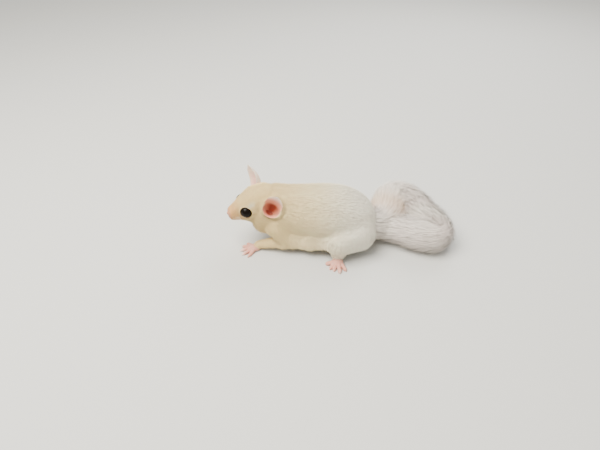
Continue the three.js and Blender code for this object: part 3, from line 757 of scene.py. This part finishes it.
def scatter_on_skin():
    """Tuft roots over the skin, as dense as the table says, and a corner of each root's quad."""
    quads = skin_quads[whole]
    p = skin_points[quads]
    area = np.linalg.norm(np.cross(p[:, 2] - p[:, 0], p[:, 3] - p[:, 1]), axis=1) / 2
    wanted = area * table[quads[:, 0], DENSITY] * COAT_SHARE
    number = np.floor(wanted + rng.random(len(wanted))).astype(int)
    chosen = np.repeat(np.arange(len(quads)), number)
    a, b = rng.random(len(chosen))[:, None], rng.random(len(chosen))[:, None]
    q = p[chosen]
    roots = (q[:, 0] * (1 - a) + q[:, 1] * a) * (1 - b) + (q[:, 3] * (1 - a) + q[:, 2] * a) * b
    return roots, quads[chosen, 0]


# The body's coat. The eyes and the ears' hollows stay bare
EYE_BARE = 5.9
ROOT_SUNK = 0.25
LIMB_KINDS = ["upper_arm", "forearm", "hand", "shank", "foot", "membrane"]
roots, at = scatter_on_skin()
keep = (kind_of[at] != "tail") & ((eye_gap[at] >= EYE_BARE) | (is_head[at] <= 0.5))
keep &= (ear_gap[at] > EAR_HOLLOW_RADIUS + 0.5) | (under_ear[at] > 0.5)
roots, at = roots[keep], at[keep]
n = normals_soft[at]
lie = flow[at].copy()
# Hair on the flanks hangs, and hair on the face lies away from the eyes
lie[:, 2] -= 0.35 * (np.abs(n[:, 1]) * (1 - is_head[at]))
for side in ("left", "right"):
    away = roots - eye_centres[side]
    distance = np.linalg.norm(away, axis=1)
    by_lid = np.exp(-((distance - 5) / 2.2) ** 2)
    lie += unit(away) * (1.6 * by_lid * is_head[at])[:, None]
lie += 0.14 * rng.normal(size=lie.shape) + 0.04 * np.stack([noise3(roots, 0.5, k) for k in (11, 12, 13)], -1)
lie = unit(lie - n * (lie * n).sum(-1, keepdims=True))
length = table[at, LENGTH] * rng.uniform(0.75, 1.15, len(at))
rise = np.maximum(table[at, DEPTH], 0.12) * rng.uniform(0.86, 1.08, len(at)) + 0.08
# A few tufts stand a little higher and break the coat's outline
rise *= np.where(rng.random(len(at)) < 0.14, rng.uniform(1.15, 1.5, len(at)), 1)
width = table[at, WIDTH] * rng.uniform(0.7, 1.2, len(at))
rings = 3
s = np.array([0, 0.42, 1])[None, :, None]
bow = np.sin(s * np.pi / 2) ** 0.9
body_centre = roots[:, None] - n[:, None] * ROOT_SUNK + lie[:, None] * (length[:, None, None] * s)
body_centre += n[:, None] * ((rise + ROOT_SUNK)[:, None, None] * bow)
# Long hair bends down towards the skin, which curves away under it
droop = (length ** 2 / 52)[:, None, None] * s ** 2
body_centre -= n[:, None] * droop * (1 - is_head[at])[:, None, None] * 0.8
across = np.repeat(unit(np.cross(lie, n))[:, None], rings, 1)
outward = np.repeat(n[:, None], rings, 1)
colours = skin_tint[at] * (1 + 0.035 * rng.normal(size=len(at)))[:, None]
place = bake_place(roots, label_of[at])
groups = {
    "coat_head": is_head[at] > 0.5,
    "coat_limbs": (is_head[at] <= 0.5) & np.isin(kind_of[at], LIMB_KINDS),
}
groups["coat_body"] = ~(groups["coat_head"] | groups["coat_limbs"])
for name, chosen in groups.items():
    tufts(name, body_centre[chosen], across[chosen], outward[chosen], width[chosen],
          np.clip(colours[chosen], 0, BRIGHTEST), place[chosen])


# The tail's long hair follows the tail's line, in soft clumps, as its locks in the solids do

TAIL_TUFTS = 34000
CLUMP_ROWS, CLUMPS_ROUND = 44, 13
LOOSE_TIP, LOOSE_LIMIT = 1.5, 1.6


def tail_coat():
    count = int(TAIL_TUFTS * COAT_SHARE)
    share = rng.random(count) ** 0.95
    angle = rng.uniform(0, 2 * np.pi, count)
    row = np.floor(share * CLUMP_ROWS)
    clump_share = (row + 0.5) / CLUMP_ROWS + 0.012 * np.sin(angle * 5)
    clump = np.floor(angle / (2 * np.pi) * CLUMPS_ROUND + 0.5 * (row % 2))
    clump_angle = clump * 2 * np.pi / CLUMPS_ROUND
    gap = (clump_angle - angle + np.pi) % (2 * np.pi) - np.pi
    pull = rng.uniform(0.05, 0.36, count)
    length = rng.uniform(11, 19, count) * (0.75 + 0.25 * step_between(share, 0, 0.2))
    fullness = rng.uniform(0.45, 1.06, count) ** 0.6
    rings = 4
    steps = np.linspace(0, 1, rings)
    centre = np.empty((count, rings, 3))
    across = np.empty_like(centre)
    outs = np.empty_like(centre)
    sunk = tail_core(share)[:, 0] * 0.8
    for k, s in enumerate(steps):
        turned = angle + gap * pull * s ** 1.4
        station = share + length * s / tail.length + (clump_share - share) * pull * s
        on = np.minimum(station, 1.0)
        along, out, flat = tail.frame(on, turned)
        # The coat reaches further into the hollow in the middle of the curl
        inward = unit(TAIL_HOLLOW - tail.point(on))
        reach = tail_reach(on)[:, 0] * fullness * (1 + 0.3 * np.clip((out * inward).sum(-1), 0, 1))
        lift = sunk + np.maximum(reach - sunk, 0.5) * np.sin(s * np.pi / 2) ** 0.8
        # Hair on the inner side of a bend stops short of the bend's centre
        lift = np.minimum(lift, 0.8 / np.maximum(tail.bend_towards(on, out), 0.001))
        centre[:, k] = tail.point(on) + along * ((station - on) * tail.length)[:, None] + out * lift[:, None]
        across[:, k] = flat
        outs[:, k] = out
    loose = np.clip(rng.normal(size=(count, 1, 3)), -LOOSE_LIMIT, LOOSE_LIMIT) * LOOSE_TIP
    centre = kept_in_box(centre + loose * steps[None, :, None] ** 2)
    width = rng.uniform(0.28, 0.6, count)
    shade = 1 + 0.05 * rng.normal(size=count)
    tint = np.tile(TAIL_WHITE, (count, 1))
    # The tail's base is darkened to tan with painted shade
    tint = mix(tint, TAIL_BASE_SHADE, np.exp(-((share - 0.15) / 0.08) ** 2) * 0.7)
    tint = mix(tint, TAIL_BLUSH, 0.25 + 0.2 * noise3(centre[:, 0], 0.2, 5))
    place = np.stack([0.02 + 0.96 * share, 0.82 + 0.16 * angle / (2 * np.pi)], -1)
    tint = np.clip(tint * shade[:, None], 0, BRIGHTEST)
    tufts("coat_tail", centre, across, outs, width, tint, place, leaf=0.7)


tail_coat()


# Eyes, nose, ears, claws and whiskers

def ellipsoid(name, centre, size, rows, columns, turn=np.eye(3), dent=None):
    polar = np.linspace(0, np.pi, rows)
    around = np.linspace(0, 2 * np.pi, columns, endpoint=False)
    p, a = [g.ravel() for g in np.meshgrid(polar, around, indexing="ij")]
    ball = np.stack([np.sin(p) * np.cos(a), np.sin(p) * np.sin(a), np.cos(p)], -1) * np.array(size)
    if dent is not None:
        ball = dent(ball)
    return new_mesh(name, ball @ turn.T + centre, grid_faces(rows, columns)[:, ::-1])


for side in ("left", "right"):
    eye = ellipsoid(f"eyeball_{side}", eye_centres[side], (EYE_RADIUS - 0.05,) * 3, 48, 64)
    eye.data.materials.append(eye_finish)
    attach(eye, "root")
    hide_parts(f"eye_{side}")


def in_nostrils(points, hole, size):
    """How far points of the nose pad are in either nostril. hole is the one on the left."""
    share = np.zeros(len(points))
    for sign in (1, -1):
        offset = (points - np.array([hole[0], sign * hole[1], hole[2]])) / np.array(size)
        share += np.exp(-(offset ** 2).sum(-1))
    return share


def nostrils(ball):
    """The nose pad's ball with two nostrils and the groove under them pressed in."""
    depth = in_nostrils(ball, (1.45, 1.15, 0.05), (1.2, 0.5, 0.62))
    groove = np.exp(-(ball[:, 1] / 0.28) ** 2) * step_between(-ball[:, 2], -0.2, 0.9) * (ball[:, 0] > 0)
    return ball * (1 - 0.42 * depth - 0.1 * groove)[:, None]


# The nose pad is drawn in a little, as the skin round it is
NOSE_DRAWN = np.array(NOSE_AT) - np.array([0.8, 0, 0])
nose = ellipsoid("nose_pad", from_head(NOSE_DRAWN), NOSE_SIZE, 56, 72, HEAD_TURN, nostrils)
nose_local = to_head(np.array([v.co for v in nose.data.vertices]) / MM + ORIGIN) - NOSE_DRAWN
# The nostrils are darkened with painted shade
nostril_dark = in_nostrils(nose_local, (1.1, 0.95, 0.05), (1.2, 0.5, 0.6))
tint_points(nose, mix(np.tile(NOSE_PINK, (len(nose_local), 1)), NOSTRIL_SHADE_RED, nostril_dark * 1.2))
nose.data.materials.append(nose_finish)
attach(nose, "root")
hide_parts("nose")


EAR_HALF_THICKNESS = 0.42


def ear(side):
    """A thin cupped ear, the same form as the solid one but for the near ear's root."""
    spec = EARS[side]
    root = np.array(spec["root"], float)
    axis = unit(np.array(spec["tip"], float) - root)
    facing = np.array(spec["facing"], float)
    facing = unit(facing - axis * (facing @ axis))
    across = np.cross(axis, facing)
    # The near ear's root is slimmer than the solid's, as the coat hides it
    root_widths, root_wrap = ([(0, 3.2), (0.2, 5.8)], 1.3) if side == "left" else ([(0, 5), (0.2, 7)], 1.9)
    width_at = smooth_rows(root_widths + [(0.45, EAR_HALF_WIDTH), (0.75, 6.4), (1, 3)])
    wrap_at = smooth_rows([(0, root_wrap), (0.35, 1.3), (0.75, 0.85), (1, 0.6)])
    rows, columns = 60, 72
    along = np.linspace(0, 1, rows)
    angle = np.linspace(0, 2 * np.pi, columns, endpoint=False)
    t, a = [g.ravel() for g in np.meshgrid(along, angle, indexing="ij")]
    to_tip = np.clip((1 - t) / 0.22, 0, 1)
    round_end = np.minimum(np.sqrt(1 - (1 - to_tip) ** 2), np.sqrt(np.clip(t / 0.06, 0, 1)))
    wrap = wrap_at(t)[:, 0]
    bow_radius = width_at(t)[:, 0] / np.sin(np.minimum(wrap, np.pi / 2))
    bow = np.cos(a) * wrap * round_end
    thick = np.sin(a) * EAR_HALF_THICKNESS * np.sqrt(round_end)
    radius = bow_radius - thick
    ahead = bow_radius - radius * np.cos(bow) - 3.2 * np.sin(np.pi * t ** 0.8) + 2.2 * t * t
    points = root + axis * (EAR_LENGTH * t)[:, None] + facing * ahead[:, None]
    points += across * (radius * np.sin(bow))[:, None]
    folds = 0.16 * np.sin(t * 38) * np.exp(-(np.cos(a) / 0.55) ** 2) * step_between(t, 0.25, 0.4)
    points += facing * folds[:, None]
    obj = new_mesh(f"ear_{side}_skin", from_head(points), grid_faces(rows, columns))
    inside = (np.sin(a) > 0).astype(float)
    colour = np.tile(EAR_SKIN, (len(t), 1))
    # The near ear shows its flushed bowl, the far one its pale edge
    flush = 1.0 if side == "left" else 0.3
    colour = mix(colour, EAR_BOWL, flush * inside * (1 - step_between(t, 0.45, 0.85)))
    # The canal is darkened with dark red painted shade
    canal_shade = (1 - step_between(t, 0.24, 0.44)) * np.maximum(inside, t < 0.12) * np.exp(-(np.cos(a) / 0.9) ** 2)
    colour = mix(colour, EAR_CANAL_SHADE, canal_shade * 1.1 * flush)
    # The ear's rim is greyed with painted shade
    rim_shade = np.exp(-((1 - np.abs(np.cos(a))) / 0.06) ** 2)
    colour = mix(colour, EAR_RIM_SHADE, rim_shade * 0.6 * step_between(t, 0.2, 0.4))
    colour = mix(colour, EAR_BACK, (1 - inside) * 0.8)
    tint_points(obj, colour)
    obj.data.materials.append(ear_finish)
    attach(obj, "root")
    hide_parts(f"ear_{side}")


for side in EARS:
    ear(side)


def strand(line, radii, sides):
    """Points and triangles of one closed tapering tube along a line that ends in a point."""
    line = np.asarray(line, float)
    direction = unit(np.gradient(line, axis=0))
    across = unit(np.cross(direction, np.array([0.13, 0.21, 0.97])))
    other = np.cross(direction, across)
    turn = np.linspace(0, 2 * np.pi, sides, endpoint=False)
    ring = across[:, None] * np.cos(turn)[None, :, None] + other[:, None] * np.sin(turn)[None, :, None]
    points = (line[:, None] + ring * np.asarray(radii)[:, None, None])[:-1].reshape(-1, 3)
    points = np.vstack([points, line[0], line[-1]])
    rows = len(line) - 1
    quads = grid_faces(rows, sides)[:, ::-1]
    faces = np.vstack([quads[:, [0, 1, 2]], quads[:, [0, 2, 3]]]).tolist()
    base, tip = len(points) - 2, len(points) - 1
    faces += [[c, (c + 1) % sides, base] for c in range(sides)]
    end = (rows - 1) * sides
    faces += [[end + (c + 1) % sides, end + c, tip] for c in range(sides)]
    return points, np.array(faces)


def strands(name, lines, finish, sides):
    points, faces, count = [], [], 0
    for line, radii in lines:
        p, f = strand(line, radii, sides)
        points.append(p)
        faces.append(f + count)
        count += len(p)
    obj = new_mesh(name, np.vstack(points), np.vstack(faces))
    obj.data.materials.append(finish)
    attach(obj, "root")


CLAW_LENGTH, CLAW_RADIUS = 2.15, 0.46


def claw_lines():
    """Each claw's line and radii, from a digit's tip down to the floor."""
    lines = []
    for side, leg in LEGS.items():
        thumb_side = -1 if side == "left" else 1
        for joint, turn_name, shape in (("wrist", "hand_turn", HAND), ("ankle", "foot_turn", FOOT)):
            turn = math.radians(leg[turn_name])
            spin = np.array([[math.cos(turn), -math.sin(turn)], [math.sin(turn), math.cos(turn)]])
            for i in shape["clawed"]:
                degrees, length, root_y, thickness = shape["digits"][i]
                angle = thumb_side * math.radians(degrees)
                root = np.array([shape["palm"] * 0.86 - abs(root_y) * 0.55, thumb_side * root_y])
                away = np.array([math.cos(angle), math.sin(angle)])
                s = np.linspace(0, 1, 8)
                reach = length + 0.2 + CLAW_LENGTH * s
                root_z = thickness * 1.2
                height = root_z + 0.55 * np.sin(s * np.pi) * (1 - s) - (root_z - 0.12) * s ** 1.7
                flat = (root + away * reach[:, None]) @ spin.T + np.array(leg[joint][:2])
                lines.append((np.column_stack([flat, height]), CLAW_RADIUS * (1 - s) ** 0.7 + 0.02))
    return lines


strands("claws", claw_lines(), claw_finish, 10)


WHISKER_ROWS, WHISKERS_A_ROW = 3, 4
WHISKER_RADIUS = 0.075


def whisker_lines():
    """Each whisker's line and radii, in three rows of four on both sides of the muzzle."""
    draw = np.random.default_rng(19)
    lines = []
    for sign in (1, -1):
        for i in range(WHISKER_ROWS * WHISKERS_A_ROW):
            row, back = i // WHISKERS_A_ROW, i % WHISKERS_A_ROW
            start = np.array([28.5 - 5 * back / 3, sign * (4.4 + 1.2 * back / 3), -5.4 - 1.1 * row])
            length = draw.uniform(11, 19)
            forward = -0.25 + 0.35 * draw.random()
            up = 0.25 - 0.3 * row + 0.2 * draw.random()
            aim = unit(np.array([forward, sign * 1.0, up]))
            s = np.linspace(0, 1, 9)
            sweep = np.outer(s ** 2, np.array([-0.35, 0, -0.12]) * length)
            line = start + np.outer(s * length, aim) + sweep
            lines.append((from_head(line), WHISKER_RADIUS * (1 - 0.8 * s)))
    return lines


strands("whiskers", whisker_lines(), whisker_finish, 4)


# Floor, light and camera

def floor_plane():
    """A plain floor, 6 m across."""
    reach = 3
    corners = [(-reach, -reach, 0), (reach, -reach, 0), (reach, reach, 0), (-reach, reach, 0)]
    mesh = bpy.data.meshes.new("floor")
    mesh.from_pydata(corners, [], [(0, 1, 2, 3)])
    floor = bpy.data.objects.new("floor", mesh)
    bpy.context.collection.objects.link(floor)
    floor.data.materials.append(material("floor", 0.9, colour=FLOOR_GREY))


def area_light(name, place, target, size, power, colour=(1, 1, 1)):
    light = bpy.data.lights.new(name, "AREA")
    light.size = size
    light.energy = power
    light.color = colour
    obj = bpy.data.objects.new(name, light)
    obj.location = place
    obj.rotation_euler = (Vector(target) - Vector(place)).to_track_quat("-Z", "Y").to_euler()
    bpy.context.collection.objects.link(obj)


floor_plane()
area_light("key", (-0.35, -0.15, 0.8), (0, 0, 0.02), 0.6, 19, (1, 0.96, 0.87))
area_light("back", (0.3, 0.6, 0.6), (0, 0, 0.02), 0.5, 5)
world = bpy.data.worlds.new("sky")
world.use_nodes = True
world.node_tree.nodes["Background"].inputs["Color"].default_value = (1.0, 0.98, 0.94, 1)
world.node_tree.nodes["Background"].inputs["Strength"].default_value = 0.88
bpy.context.scene.world = world

camera = bpy.data.objects.new("camera", bpy.data.cameras.new("camera"))
camera.data.lens = LENS
camera.data.sensor_width = SENSOR
camera.data.clip_start = 0.01
camera.location = to_model(CAMERA_AT)
camera.rotation_euler = (math.radians(90 - CAMERA_TILT), 0, 0)
bpy.context.collection.objects.link(camera)
bpy.context.scene.camera = camera
